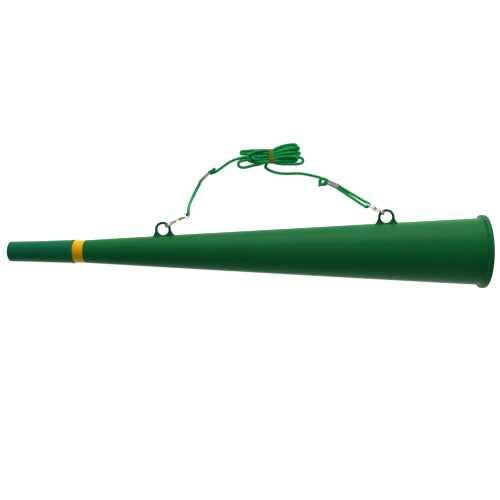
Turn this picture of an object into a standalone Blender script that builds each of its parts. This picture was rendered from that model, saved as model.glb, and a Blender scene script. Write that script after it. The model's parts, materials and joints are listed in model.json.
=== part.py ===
"""A fan horn with a shoulder cord, lying on its side on a flat surface.

A long moulded cone with a flanged bell carries two ring lugs. Its throat takes a push-in reed unit (holder, trough,
tongue and wedge), and a tapered mouthpiece pushes over the holder. A braided cord with a tied hank in its middle
hangs between the lugs: each end is doubled through a flat crimp sleeve round the eye of a swivel hook.

Horn parts are modelled along +X from the mouthpiece's end, with the lugs towards +Y, under an empty that tilts and
rolls them to where the horn rests. The cord's parts are placed on the surface itself. Metres, +Z up.
"""

import math

import bpy
from mathutils import Matrix, Vector

# The horn, along its axis from the mouthpiece's end
HORN_LENGTH = 0.6256
MOUTHPIECE_END = 0.0887
THROAT_AT = 0.1032
RIM_AT = 0.6192
BELL_RADIUS = 0.0475
TIP_RADIUS = 0.0135
THROAT_RADIUS = 0.0153
CONE_END_RADIUS = 0.0433
CONE_BULGE = 0.0003
CONE_SPLIT_AT = 0.3600
WALL = 0.0014
SOCKET_RADIUS = 0.0139
SOCKET_DEPTH = 0.0190
COLLAR_RADIUS = 0.0150
RIM_EDGE = 0.0012
# How far in from the mouthpiece's end, and behind the rim's edge, the horn touches the surface
TIP_TOUCH = 0.0024
RIM_TOUCH = 0.0008
TURN_STEPS = 48
GAP = 0.0003

# Lugs: ring centre above the cone's surface, ring size, and where along the axis
LUG_AT = {"rear": 0.2090, "front": 0.4992}
LUG_RISE = 0.0084
LUG_RING = 0.00895
LUG_WIRE = 0.00195
LUG_FOOT = 0.0037
LUG_THICK = 0.0036

# How the horn rests: it rolls until the lugs point this far above the surface, and its axis starts here
ROLL = math.radians(14)
AXIS_START = -0.31049
AXIS_ACROSS = -0.00336

# Cord
CORD = 0.0036
STRAND_GAP = 0.00375
CRIMP_LENGTH = 0.016
CRIMP_WIDE = 0.0082
CRIMP_THICK = 0.0046
CRIMP_WALL = 0.0005

CRIMP_GAP = CRIMP_LENGTH / 2 + GAP
HANK_THICK = 0.0076
BAND_AT = 0.0405
BAND_THICK = 0.0012
BAND_WIDE = 0.0048

# Where the crimps lie: middle, and the way from the hook's side to the hank's side
REAR_CRIMP = ((-0.0500, 0.0972, 0.0042), 47)
FRONT_CRIMP = ((0.1242, 0.0878, 0.0024), 153.7)

# Middle lines of the doubled loops, from crimp to eye
REAR_LOOP = [
    (-0.0573, 0.0870, 0.0045),
    (-0.0597, 0.0825, 0.0050),
    (-0.0636, 0.0741, 0.0080),
    (-0.0670, 0.0657, 0.0122),
    (-0.0692, 0.0590, 0.0188),
    (-0.0699, 0.0534, 0.0240),
]
FRONT_LOOP = [
    (0.1344, 0.0820, 0.0026),
    (0.1398, 0.0785, 0.0038),
    (0.1450, 0.0747, 0.0062),
    (0.1525, 0.0692, 0.0110),
    (0.1596, 0.0636, 0.0168),
    (0.1648, 0.0596, 0.0222),
]

# Single runs between the crimps and the hank, and the tails that the crimps hold
REAR_RUN = [
    (-0.0440, 0.1036, 0.0023),
    (-0.0413, 0.1026, 0.0021),
    (-0.0375, 0.1037, 0.0019),
    (-0.0340, 0.1055, 0.0019),
    (-0.0311, 0.1075, 0.0019),
    (-0.0270, 0.1104, 0.0019),
    (-0.0230, 0.1133, 0.0019),
    (-0.0189, 0.1162, 0.0019),
    (-0.0148, 0.1187, 0.0019),
    (-0.0107, 0.1206, 0.0019),
]
FRONT_RUN = [
    (0.0318, 0.1132, 0.0034),
    (0.0338, 0.1096, 0.0024),
    (0.0405, 0.1058, 0.0019),
    (0.0490, 0.1034, 0.0019),
    (0.0590, 0.1023, 0.0019),
    (0.0690, 0.1024, 0.0019),
    (0.0790, 0.1026, 0.0019),
    (0.0885, 0.1013, 0.0019),
    (0.0985, 0.0992, 0.0019),
    (0.1060, 0.0972, 0.0020),
    (0.1120, 0.0952, 0.0022),
    (0.1175, 0.0930, 0.0024),
]
REAR_TAIL = [(-0.0440, 0.1036, 0.0061), (-0.0420, 0.1060, 0.0060), (-0.0366, 0.1097, 0.0058)]
FRONT_KNOT = ((0.1097, 0.0890, 0.0036), (0.0052, 0.0043, 0.0034))

# Outline of the tied hank, round its fanned ends and its waist
HANK = [
    (0.0435, 0.1166),
    (0.0580, 0.1130),
    (0.0720, 0.1122),
    (0.0820, 0.1134),
    (0.0868, 0.1185),
    (0.0862, 0.1260),
    (0.0840, 0.1330),
    (0.0812, 0.1395),
    (0.0755, 0.1428),
    (0.0680, 0.1430),
    (0.0570, 0.1396),
    (0.0435, 0.1342),
    (0.0375, 0.1342),
    (0.0200, 0.1356),
    (0.0040, 0.1348),
    (-0.0030, 0.1330),
    (-0.0036, 0.1285),
    (-0.0030, 0.1225),
    (-0.0056, 0.1170),
    (-0.0056, 0.1120),
    (-0.0010, 0.1078),
    (0.0060, 0.1080),
    (0.0140, 0.1108),
    (0.0260, 0.1150),
    (0.0375, 0.1166),
]

# Hooks: the bend is centred on the lug's ring, +X runs to the eye and +Z is the spine's side
HOOK_INSIDE = 0.0032
HOOK_STRIP = 0.0013
HOOK_WIDE = 0.0044
HOOK_TOP = 0.0198
PIVOT = (0.0162, -0.0022)
EYE_AT = 0.0280
EYE_RING = 0.00355
EYE_WIRE = 0.00075

COLLECTION = bpy.data.collections.new("fan_horn")
CUTTERS = bpy.data.collections.new("cutters")


# ---------------------------------------------------------------- helpers


def clear_scene():
    for old in list(bpy.data.objects):
        bpy.data.objects.remove(old, do_unlink=True)
    for made in (COLLECTION, CUTTERS):
        bpy.context.scene.collection.children.link(made)


def material(name, colour, roughness, metallic=0.0):
    made = bpy.data.materials.new(name)
    made.use_nodes = True
    shader = made.node_tree.nodes["Principled BSDF"]
    shader.inputs["Base Color"].default_value = (*colour, 1.0)
    shader.inputs["Roughness"].default_value = roughness
    shader.inputs["Metallic"].default_value = metallic
    made.diffuse_color = (*colour, 1.0)
    return made


def add(name, data, look=None, parent=None, at=None, collection=COLLECTION):
    """A new object that holds data, placed by the matrix at under its parent."""
    made = bpy.data.objects.new(name, data)
    collection.objects.link(made)
    if look is not None:
        data.materials.append(look)
    made.parent = parent
    if at is not None:
        made.matrix_basis = at
    return made


def cutter(name, parent=None):
    """Turns the object that was just added by a primitive operator into a hidden helper."""
    made = bpy.context.active_object
    for home in list(made.users_collection):
        home.objects.unlink(made)
    CUTTERS.objects.link(made)
    made.name = name
    made.hide_render = True
    made.display_type = "WIRE"
    made.parent = parent
    return made


def join(target, other, operation):
    change = target.modifiers.new(f"{operation.lower()} {other.name}", "BOOLEAN")
    change.object = other
    change.operation = operation
    return change


def box(name, low, high, parent):
    size = Vector(high) - Vector(low)
    bpy.ops.mesh.primitive_cube_add(size=1)
    made = cutter(name, parent)
    made.data.transform(Matrix.Translation((Vector(high) + Vector(low)) / 2) @ Matrix.Diagonal((*size, 1)))
    return made


def rod(name, radius, start, end, parent, sides=16):
    """A cylinder from start to end."""
    run = Vector(end) - Vector(start)
    bpy.ops.mesh.primitive_cylinder_add(radius=radius, depth=run.length, vertices=sides)
    made = cutter(name, parent)
    turn = run.to_track_quat("Z", "Y").to_matrix().to_4x4()
    made.data.transform(Matrix.Translation((Vector(end) + Vector(start)) / 2) @ turn)
    return made


def show(made, name, look):
    """Makes a helper a visible part."""
    CUTTERS.objects.unlink(made)
    COLLECTION.objects.link(made)
    made.name = name
    made.hide_render = False
    made.display_type = "TEXTURED"
    made.data.materials.append(look)
    smooth(made)
    return made


def smooth(made):
    made.data.shade_smooth()
    made.data.set_sharp_from_angle(angle=math.radians(35))


def arc(centre, radius, start, end, steps):
    """Points of an arc in the plane, from one angle to another in degrees."""
    turns = [math.radians(start + (end - start) * i / steps) for i in range(steps + 1)]
    return [(centre[0] + radius * math.cos(t), centre[1] + radius * math.sin(t)) for t in turns]


def turned(name, profile, look, parent):
    """A ring-shaped solid round the horn's axis. The profile is (along, radius), outer side first from the bell."""
    mesh = bpy.data.meshes.new(name)
    count = len(profile)
    mesh.from_pydata(
        [(radius, 0, along) for along, radius in profile], [(i, (i + 1) % count) for i in range(count)], []
    )
    made = add(name, mesh, look, parent, Matrix.Rotation(math.pi / 2, 4, "Y"))
    spin = made.modifiers.new("turn", "SCREW")
    spin.steps = spin.render_steps = TURN_STEPS
    spin.use_merge_vertices = True
    spin.merge_threshold = 0.00001
    return made


def through(points, spacing):
    """Evenly spaced points on a smooth Catmull-Rom curve through the given ones."""
    knots = [Vector(p) for p in points]
    ends = [2 * knots[0] - knots[1], *knots, 2 * knots[-1] - knots[-2]]
    fine = []
    for a, b, c, d in zip(ends, ends[1:], ends[2:], ends[3:]):
        for i in range(16):
            t = i / 16
            fine.append(
                0.5 * (2 * b + (c - a) * t + (2 * a - 5 * b + 4 * c - d) * t**2 + (3 * b - a - 3 * c + d) * t**3)
            )
    fine.append(knots[-1])
    steps = [0.0]
    for a, b in zip(fine, fine[1:]):
        steps.append(steps[-1] + (b - a).length)
    count = max(2, round(steps[-1] / spacing))
    made, k = [], 0
    for i in range(count + 1):
        want = steps[-1] * i / count
        while k < len(steps) - 2 and steps[k + 1] < want:
            k += 1
        share = (want - steps[k]) / max(steps[k + 1] - steps[k], 1e-12)
        made.append(fine[k].lerp(fine[k + 1], min(1.0, share)))
    return made


def cord_tube(name, route, look, spacing=2 * CORD):
    """A plain round tube along a smooth curve through the route."""
    curve = bpy.data.curves.new(name, "CURVE")
    curve.dimensions = "3D"
    curve.bevel_depth = CORD / 2
    curve.bevel_resolution = 2
    curve.use_fill_caps = True
    points = through(route, spacing)
    line = curve.splines.new("POLY")
    line.points.add(len(points) - 1)
    for knot, place in zip(line.points, points):
        knot.co = (*place, 1)
    return add(name, curve, look)


# ---------------------------------------------------------------- horn


def cone_radius(along):
    """Outside radius of the cone, which bulges very slightly between its ends."""
    share = (along - THROAT_AT) / (RIM_AT - THROAT_AT)
    return THROAT_RADIUS + (CONE_END_RADIUS - THROAT_RADIUS) * share + 4 * CONE_BULGE * share * (1 - share)


def rest_empty():
    """The horn's axis where it lies: on the back edge of the bell's flange and the mouthpiece's end."""
    tilt = math.atan((BELL_RADIUS - TIP_RADIUS) / (RIM_AT + RIM_TOUCH - TIP_TOUCH))
    height = TIP_RADIUS * math.cos(tilt) - TIP_TOUCH * math.sin(tilt)
    made = bpy.data.objects.new("horn_axis", None)
    COLLECTION.objects.link(made)
    made.location = (AXIS_START, AXIS_ACROSS, height)
    made.rotation_euler = (ROLL, -tilt, 0)
    bpy.context.view_layer.update()
    return made


def horn_cones(look, axis):
    """The one long cone, as a throat half with the reed unit's socket and a bell half with the flanged rim."""
    stations = [THROAT_AT + (RIM_AT - THROAT_AT) * i / 9 for i in range(10)]
    throat_cut, bell_cut = CONE_SPLIT_AT - GAP / 2, CONE_SPLIT_AT + GAP / 2
    throat_stations = [x for x in stations[1:-1] if x < throat_cut]
    bell_stations = [x for x in stations[1:-1] if x > bell_cut]
    socket_end = THROAT_AT + SOCKET_DEPTH
    inner_from = socket_end + 0.004
    throat_half = [
        *[(x, cone_radius(x)) for x in (throat_cut, *reversed(throat_stations))],
        (THROAT_AT + 0.0005, THROAT_RADIUS),
        (THROAT_AT, THROAT_RADIUS - 0.0005),
        (THROAT_AT, SOCKET_RADIUS),
        (socket_end, SOCKET_RADIUS),
        *[(x, cone_radius(x) - WALL) for x in (inner_from, *throat_stations, throat_cut) if x >= inner_from],
    ]
    turned("throat_cone", throat_half, look, axis)
    bell_half = [
        *arc((HORN_LENGTH - RIM_EDGE, BELL_RADIUS - RIM_EDGE), RIM_EDGE, 0, 90, 3),
        *arc((RIM_AT + RIM_EDGE, BELL_RADIUS - RIM_EDGE), RIM_EDGE, 90, 180, 3),
        (RIM_AT, CONE_END_RADIUS + RIM_EDGE),
        (RIM_AT - RIM_EDGE, CONE_END_RADIUS),
        *[(x, cone_radius(x)) for x in (*reversed(bell_stations), bell_cut)],
        *[(x, cone_radius(x) - WALL) for x in (bell_cut, *bell_stations)],
        (RIM_AT, CONE_END_RADIUS - WALL),
        (HORN_LENGTH, BELL_RADIUS - 0.0044),
    ]
    turned("bell_cone", bell_half, look, axis)


def lug_place(end):
    """A lug's own frame on the cone: +X along the surface towards the bell and +Y out of it."""
    along = LUG_AT[end]
    slope = math.atan((cone_radius(along + 0.01) - cone_radius(along - 0.01)) / 0.02)
    return Matrix.Translation((along, cone_radius(along), 0)) @ Matrix.Rotation(slope, 4, "Z")


def lug(end, look, axis):
    """A ring on two flared feet, along the cone's surface with a gap of GAP under it."""
    place = lug_place(end)
    flank, toe = LUG_RING + 0.7 * LUG_WIRE, 0.0009
    fillet_centre = (flank + LUG_FOOT, GAP + LUG_FOOT)
    fillet = [(x, y) for x, y in arc(fillet_centre, LUG_FOOT, -90, -180, 6) if y > GAP + toe / 3]
    right = [(flank + LUG_FOOT - toe, -0.0010), *fillet, (flank, LUG_RISE)]
    hole = arc((0, LUG_RISE), LUG_RING - 0.7 * LUG_WIRE, 0, -180, 16)
    outline = [*right, *hole, *[(-x, y) for x, y in reversed(right)]]
    mesh = bpy.data.meshes.new(f"{end}_lug_feet")
    mesh.from_pydata([(x, y, -LUG_THICK / 2) for x, y in outline], [], [list(range(len(outline)))])
    made = add(f"{end}_lug", mesh, look, axis, place)
    thick = made.modifiers.new("thickness", "SOLIDIFY")
    thick.thickness = LUG_THICK
    thick.offset = 1
    bpy.ops.mesh.primitive_torus_add(
        major_radius=LUG_RING, minor_radius=LUG_WIRE, major_segments=32, minor_segments=10
    )
    ring = cutter(f"{end}_lug_ring", axis)
    ring.matrix_basis = place @ Matrix.Translation((0, LUG_RISE, 0))
    join(made, ring, "UNION")
    under = box(f"{end}_lug_underside", (-0.03, -0.01, -0.01), (0.03, GAP, 0.01), axis)
    under.matrix_basis = place
    join(made, under, "DIFFERENCE")
    return made


def mouthpiece(look, axis):
    """Tapered tube, closed round by a soft lip at the mouth and a thin bead at the socket end."""
    bead = 0.0161
    tube_end = 0.0155
    profile = [
        (MOUTHPIECE_END, bead - 0.0005),
        (MOUTHPIECE_END - 0.0005, bead),
        (MOUTHPIECE_END - 0.0015, bead),
        (MOUTHPIECE_END - 0.0030, tube_end),
        (0.0180, TIP_RADIUS + 0.0001),
        *arc((TIP_TOUCH, TIP_RADIUS - TIP_TOUCH), TIP_TOUCH, 90, 180, 4),
        *arc((0.0012, TIP_RADIUS - 0.0030), 0.0012, 180, 270, 2),
        (0.0180, TIP_RADIUS - 0.0031),
        (0.0640, 0.0131),
        (0.0680, SOCKET_RADIUS),
        (MOUTHPIECE_END, SOCKET_RADIUS),
    ]
    turned("mouthpiece", profile, look, axis)


def reed_unit(looks, axis):
    """The push-in reed unit: a collared holder whose partition grips the trough, the tongue and the wedge."""
    spigot = SOCKET_RADIUS - 0.00015
    collar = (MOUTHPIECE_END + GAP, THROAT_AT - GAP)
    bore, grip, grip_at = 0.0116, 0.0060, 0.0790
    holder = [
        (THROAT_AT + 0.0170, spigot - 0.0006),
        (THROAT_AT + 0.0164, spigot),
        (collar[1], spigot),
        (collar[1], COLLAR_RADIUS - 0.0004),
        (collar[1] - 0.0004, COLLAR_RADIUS),
        (collar[0] + 0.0004, COLLAR_RADIUS),
        (collar[0], COLLAR_RADIUS - 0.0004),
        (collar[0], spigot),
        (0.0706, spigot),
        (0.0700, spigot - 0.0006),
        (0.0700, bore),
        (grip_at, bore),
        (grip_at, grip),
        (grip_at + 0.0080, grip),
        (grip_at + 0.0120, bore),
        (THROAT_AT + 0.0170, bore),
    ]
    turned("reed_holder", holder, looks["yellow"], axis)

    # The trough is a round bar with a flat on top and a channel that opens through the flat and out of its rear end
    radius, flat, start, end = grip - GAP, 0.0014, 0.0460, 0.0895
    trough = show(rod("trough", radius, (start, 0, 0), (end, 0, 0), axis, 24), "reed_trough", looks["reed"])
    join(trough, box("trough_flat", (start - 0.01, -0.01, flat), (end + 0.01, 0.01, 0.01), axis), "DIFFERENCE")
    channel = rod("trough_channel", 0.0036, (start + 0.004, 0, 0), (end + 0.01, 0, 0), axis, 16)
    join(trough, channel, "DIFFERENCE")
    slot = box("trough_slot", (start + 0.005, -0.0024, 0), (grip_at - 0.003, 0.0024, 0.01), axis)
    join(trough, slot, "DIFFERENCE")

    # The tongue stands off the flat by a small angle about the wedge's front edge
    tongue, seat = 0.00035, flat + 0.0005
    lift = math.radians(1.6)
    strip = box("tongue", (start + 0.002 - grip_at, -0.0036, 0), (0.0085, 0.0036, tongue), axis)
    strip.matrix_basis = Matrix.Translation((grip_at, 0, seat)) @ Matrix.Rotation(lift, 4, "Y")
    show(strip, "reed_tongue", looks["brass"])

    wedge = show(
        rod("wedge", radius, (grip_at + 0.0006, 0, 0), (grip_at + 0.0080, 0, 0), axis, 24), "reed_wedge", looks["reed"]
    )
    low = box("wedge_flat", (grip_at - 0.01, -0.01, -0.01), (grip_at + 0.02, 0.01, seat + tongue + GAP), axis)
    join(wedge, low, "DIFFERENCE")


# ---------------------------------------------------------------- hooks


def hook(end, place, eye_turn, looks):
    """A stamped J hook with its sprung gate, pin, swivel rivet and eye. place carries the hook's own frame, whose
    origin is the middle of the bend, to the world; eye_turn turns the eye about the shank."""
    frame = bpy.data.objects.new(f"{end}_hook_frame", None)
    COLLECTION.objects.link(frame)
    frame.matrix_basis = place
    middle = HOOK_INSIDE + HOOK_STRIP / 2
    path = [
        (0.0055, -middle),
        *arc((0, 0), middle, -90, -270, 12),
        (HOOK_TOP - 0.0010, middle),
        (HOOK_TOP - 0.0003, middle - 0.0003),
        (HOOK_TOP, middle - 0.0010),
        (HOOK_TOP, -0.0022),
    ]
    half = HOOK_WIDE / 2
    mesh = bpy.data.meshes.new(f"{end}_hook")
    points = [(x, side * half, z) for x, z in path for side in (-1, 1)]
    mesh.from_pydata(points, [], [(2 * i, 2 * i + 1, 2 * i + 3, 2 * i + 2) for i in range(len(path) - 1)])
    made = add(f"{end}_hook", mesh, looks["steel"], frame)
    thick = made.modifiers.new("strip", "SOLIDIFY")
    thick.thickness = HOOK_STRIP
    thick.offset = 0
    thick.use_even_offset = True
    for side in (-1, 1):
        low, high = sorted((side * (half - 0.0006), side * (half + 0.00001)))
        ear = box(
            f"{end}_ear_{side}",
            (PIVOT[0] - 0.0014, low, PIVOT[1] - 0.0012),
            (HOOK_TOP + 0.0004, high, middle + 0.0002),
            frame,
        )
        join(made, ear, "UNION")
    holes = [
        rod(f"{end}_rivet_hole", 0.00115, (HOOK_TOP - 0.002, 0, 0), (HOOK_TOP + 0.002, 0, 0), frame),
        rod(f"{end}_pin_hole", 0.0006, (PIVOT[0], -0.004, PIVOT[1]), (PIVOT[0], 0.004, PIVOT[1]), frame),
        box(f"{end}_window", (0.0062, -0.0012, 0.001), (0.0118, 0.0012, 0.008), frame),
    ]
    for hole in holes:
        join(made, hole, "DIFFERENCE")

    pin = rod("pin", 0.00045, (PIVOT[0], -half, PIVOT[1]), (PIVOT[0], half, PIVOT[1]), frame)
    show(pin, f"{end}_gate_pin", looks["steel"])

    # The gate's own origin is on its pivot, so that it turns there
    gate_half = half - 0.0006 - 0.0002
    leaf_z = -(HOOK_INSIDE - 0.00035) - PIVOT[1]
    gate = rod("gate", 0.0012, (0, -gate_half, 0), (0, gate_half, 0), frame)
    gate.matrix_basis = Matrix.Translation((PIVOT[0], 0, PIVOT[1]))
    show(gate, f"{end}_gate", looks["steel"])
    leaf = box(f"{end}_leaf", (0.0030 - PIVOT[0], -gate_half, leaf_z - 0.0002), (0, gate_half, leaf_z + 0.00025), gate)
    join(gate, leaf, "UNION")
    join(gate, rod(f"{end}_gate_bore", 0.00065, (0, -0.004, 0), (0, 0.004, 0), gate), "DIFFERENCE")

    shank_end = HOOK_TOP + 0.0034
    rivet = rod("rivet", 0.00145, (HOOK_TOP - 0.00165, 0, 0), (HOOK_TOP - 0.0009, 0, 0), frame)
    show(rivet, f"{end}_swivel_rivet", looks["steel"])
    join(rivet, rod(f"{end}_shank", 0.0009, (HOOK_TOP - 0.0012, 0, 0), (shank_end, 0, 0), frame), "UNION")

    turn = Matrix.Rotation(eye_turn, 4, "X")
    eye = rod("eye", 0.0021, (HOOK_TOP + 0.0009, 0, 0), (EYE_AT - EYE_RING + 0.0006, 0, 0), frame)
    eye.matrix_basis = turn
    show(eye, f"{end}_swivel_eye", looks["steel"])
    bpy.ops.mesh.primitive_torus_add(
        major_radius=EYE_RING, minor_radius=EYE_WIRE, major_segments=28, minor_segments=8
    )
    ring = cutter(f"{end}_eye_ring", frame)
    ring.matrix_basis = turn @ Matrix.Translation((EYE_AT, 0, 0))
    join(eye, ring, "UNION")
    bore = rod(f"{end}_eye_bore", 0.00115, (HOOK_TOP, 0, 0), (shank_end + 0.0003, 0, 0), frame)
    join(eye, bore, "DIFFERENCE")


def hook_frame(axis, end, ring_angle, heading, drop):
    """The hook's frame: on the lug's ring at ring_angle, pointing along heading in plan and drop below level."""
    grip = Vector((0, LUG_RISE, 0)) + LUG_RING * Vector((math.cos(ring_angle), math.sin(ring_angle), 0))
    origin = axis.matrix_world @ lug_place(end) @ grip
    return (
        Matrix.Translation(origin) @ Matrix.Rotation(heading, 4, "Z") @ Matrix.Rotation(drop, 4, "Y")
    )


# ---------------------------------------------------------------- cord


def crimp(end, place, look):
    """A flat sleeve round two strands, open at both ends. place puts its length along X and its width along Y."""
    flat = (CRIMP_WIDE - CRIMP_THICK) / 2

    def oval(half):
        right = arc((flat, 0), half, -90, 90, 6)
        left = arc((-flat, 0), half, 90, 270, 6)
        return [*right, *left]

    outer, inner = oval(CRIMP_THICK / 2), oval(CRIMP_THICK / 2 - CRIMP_WALL)
    points = [(0, y, z) for y, z in outer] + [(0, y, z) for y, z in inner]
    count = len(outer)
    ring = [(i, (i + 1) % count, count + (i + 1) % count, count + i) for i in range(count)]
    mesh = bpy.data.meshes.new(f"{end}_crimp")
    mesh.from_pydata([(x - CRIMP_LENGTH / 2, y, z) for x, y, z in points], [], ring)
    made = add(f"{end}_crimp", mesh, look, None, place)
    length = made.modifiers.new("length", "SOLIDIFY")
    length.thickness = CRIMP_LENGTH
    length.offset = 1
    length.use_even_offset = False
    return made


def loop_route(middle, crimp_side, frame, ring_angle, eye_turn):
    """Out beside the middle line, through the eye round its far wire, and back along the other side."""
    reach = CORD / 2 + EYE_WIRE + 2 * GAP
    turned_eye = frame @ Matrix.Rotation(eye_turn, 4, "X")
    outward = Vector((math.cos(ring_angle), math.sin(ring_angle), 0))
    wire = Vector((EYE_AT, 0, 0)) + EYE_RING * outward
    across = Vector((0, 0, reach))
    sweep = [math.radians(a) for a in (80, 110, 140, 180, 220, 250, 280)]
    turn = [
        turned_eye @ (wire + reach * math.cos(a) * outward + math.sin(a) * across) for a in sweep
    ]
    eye_side = turned_eye.to_3x3() @ across
    sides = [
        (Vector(crimp_side) * STRAND_GAP / 2).lerp(eye_side, max(0, i - 1) / (len(middle) - 1))
        for i in range(len(middle))
    ]
    out = [Vector(point) + side for point, side in zip(middle, sides)]
    back = [Vector(point) - side for point, side in zip(middle, sides)]
    return [*out, *turn, *reversed(back)]


def hank(look):
    curve = bpy.data.curves.new("hank_cord", "CURVE")
    curve.dimensions = "2D"
    curve.fill_mode = "BOTH"
    curve.extrude = HANK_THICK / 2 - 0.0015
    curve.bevel_depth = 0.0015
    curve.bevel_resolution = 1
    curve.offset = -0.0015
    points = through([(x, y, 0) for x, y in (*HANK, HANK[0])], 0.0045)[:-1]
    line = curve.splines.new("POLY")
    line.points.add(len(points) - 1)
    line.use_cyclic_u = True
    for knot, place in zip(line.points, points):
        knot.co = (*place, 1)
    add("hank_cord", curve, look, None, Matrix.Translation((0, 0, BAND_THICK + GAP + HANK_THICK / 2)))


def band(look):
    """A flat rubber ring round the hank's waist, as a rounded oblong tube along X."""
    waist = [y for x, y in HANK if abs(x - BAND_AT) < 0.004]
    middle, half_wide = (min(waist) + max(waist)) / 2, (max(waist) - min(waist)) / 2 + 0.0007
    half_high, corner = HANK_THICK / 2 + GAP, 0.0028

    def oblong(grow):
        flat, high = half_wide + grow - corner, half_high + grow - corner
        corners = ((1, 1, 0), (-1, 1, 90), (-1, -1, 180), (1, -1, 270))
        return [
            place for y, z, a in corners for place in arc((y * flat, z * high), corner, a, a + 90, 4)
        ]

    outer, inner = oblong(BAND_THICK), oblong(0)
    count = len(outer)
    mesh = bpy.data.meshes.new("hank_band")
    ring = [(i, (i + 1) % count, count + (i + 1) % count, count + i) for i in range(count)]
    mesh.from_pydata([(0, y, z) for y, z in (*outer, *inner)], [], ring)
    made = add("hank_band", mesh, look)
    made.location = (BAND_AT - BAND_WIDE / 2, middle, half_high + BAND_THICK)
    width = made.modifiers.new("width", "SOLIDIFY")
    width.thickness = BAND_WIDE
    width.offset = 1
    smooth(made)


def knot(look):
    bpy.ops.mesh.primitive_uv_sphere_add(segments=20, ring_count=12, radius=1)
    made = cutter("knot")
    made.data.transform(Matrix.Translation(FRONT_KNOT[0]) @ Matrix.Diagonal((*FRONT_KNOT[1], 1)))
    show(made, "front_knot", look)


def main():
    clear_scene()
    looks = {
        "green": material("green_plastic", (0.010, 0.110, 0.030), 0.32),
        "mouth": material("green_mouthpiece", (0.010, 0.125, 0.055), 0.38),
        "yellow": material("yellow_plastic", (0.480, 0.270, 0.004), 0.40),
        "reed": material("white_plastic", (0.720, 0.700, 0.620), 0.45),
        "brass": material("brass", (0.700, 0.480, 0.180), 0.28, 1.0),
        "steel": material("nickel_steel", (0.560, 0.550, 0.520), 0.24, 1.0),
        "cord": material("green_cord", (0.005, 0.230, 0.050), 0.80),
        "band": material("rubber_band", (0.330, 0.230, 0.010), 0.55),
    }
    axis = rest_empty()
    horn_cones(looks["green"], axis)
    for end in LUG_AT:
        lug(end, looks["green"], axis)
    mouthpiece(looks["mouth"], axis)
    reed_unit(looks, axis)

    rear = hook_frame(axis, "rear", math.radians(37), math.radians(28), math.radians(10))
    front = hook_frame(axis, "front", math.radians(130), math.radians(142), math.radians(56))
    hook("rear", rear, 0.0, looks)
    hook("front", front, math.radians(90), looks)

    turned_up = Matrix.Rotation(math.pi / 2, 4, "X")
    for end, (middle, heading), stand in (("rear", REAR_CRIMP, turned_up), ("front", FRONT_CRIMP, Matrix())):
        place = Matrix.Translation(middle) @ Matrix.Rotation(math.radians(heading), 4, "Z") @ stand
        crimp(end, place, looks["steel"])
    front_side = Matrix.Rotation(math.radians(FRONT_CRIMP[1] - 90), 3, "Z") @ Vector((1, 0, 0))
    cord_tube("rear_loop_cord", loop_route(REAR_LOOP, (0, 0, 1), rear, math.radians(35), 0), looks["cord"], 1.1 * CORD)
    front_turn = loop_route(FRONT_LOOP, front_side, front, 0, math.radians(90))
    cord_tube("front_loop_cord", front_turn, looks["cord"], 1.1 * CORD)
    cord_tube("rear_run_cord", REAR_RUN, looks["cord"])
    cord_tube("front_run_cord", FRONT_RUN, looks["cord"])
    cord_tube("rear_tail", REAR_TAIL, looks["cord"], CORD)
    knot(looks["cord"])
    hank(looks["cord"])
    band(looks["band"])


main()
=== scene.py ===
"""Looks of a green fan horn that lies on a pale floor, with its mouthpiece, reed holder and braided cord.

The shapes follow the loaded frame: the horn's own axis comes from the joint along which its reed unit
pulls out, and the hooks' axes from their own joints. Metres throughout, +Z up.
"""

import json
import math

import bmesh
import bpy
import numpy as np
from mathutils import Matrix, Vector

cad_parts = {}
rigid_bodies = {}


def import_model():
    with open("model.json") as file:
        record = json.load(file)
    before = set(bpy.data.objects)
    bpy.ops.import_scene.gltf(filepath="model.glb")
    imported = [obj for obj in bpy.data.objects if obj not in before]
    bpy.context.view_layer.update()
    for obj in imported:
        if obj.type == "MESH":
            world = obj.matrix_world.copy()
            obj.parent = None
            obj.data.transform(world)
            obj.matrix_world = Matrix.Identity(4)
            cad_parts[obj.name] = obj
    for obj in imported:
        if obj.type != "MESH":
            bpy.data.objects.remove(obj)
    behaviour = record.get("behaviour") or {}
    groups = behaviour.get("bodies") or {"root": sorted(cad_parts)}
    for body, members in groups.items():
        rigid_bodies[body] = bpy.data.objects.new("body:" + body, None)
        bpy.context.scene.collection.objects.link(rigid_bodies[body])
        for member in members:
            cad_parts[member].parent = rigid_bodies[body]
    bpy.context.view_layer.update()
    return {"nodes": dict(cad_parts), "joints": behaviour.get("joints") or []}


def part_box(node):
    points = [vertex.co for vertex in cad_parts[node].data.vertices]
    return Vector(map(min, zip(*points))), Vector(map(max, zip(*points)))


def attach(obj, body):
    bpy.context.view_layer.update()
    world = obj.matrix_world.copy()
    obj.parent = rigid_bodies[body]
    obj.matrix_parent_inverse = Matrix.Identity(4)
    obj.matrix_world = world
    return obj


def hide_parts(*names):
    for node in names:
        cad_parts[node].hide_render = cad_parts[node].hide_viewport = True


for old in list(bpy.data.objects):
    bpy.data.objects.remove(old, do_unlink=True)
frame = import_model()
JOINTS = {joint["name"]: joint for joint in frame["joints"]}

# The horn along its own axis from the mouthpiece's end, as the frame has it
HORN_LENGTH = 0.6256
MOUTHPIECE_END = 0.0887
THROAT_AT = 0.1032
RIM_AT = 0.6192
BELL_RADIUS = 0.0475
TIP_RADIUS = 0.0135
THROAT_RADIUS = 0.0153
CONE_END_RADIUS = 0.0433
CONE_BULGE = 0.0003
WALL = 0.0014
SOCKET_RADIUS = 0.0139
SOCKET_DEPTH = 0.0190
COLLAR_RADIUS = 0.0150
ROLL = math.radians(14)
RIM_EDGE = 0.0012
# Where the horn's axis starts, and how far in from the mouthpiece's end the horn touches the floor
AXIS_START = -0.31049
AXIS_ACROSS = -0.00336
TIP_TOUCH = 0.0024
LUG_AT = {"rear": 0.2090, "front": 0.4992}
LUG_RISE = 0.0084
LUG_RING = 0.00895
LUG_WIRE = 0.00195
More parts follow.
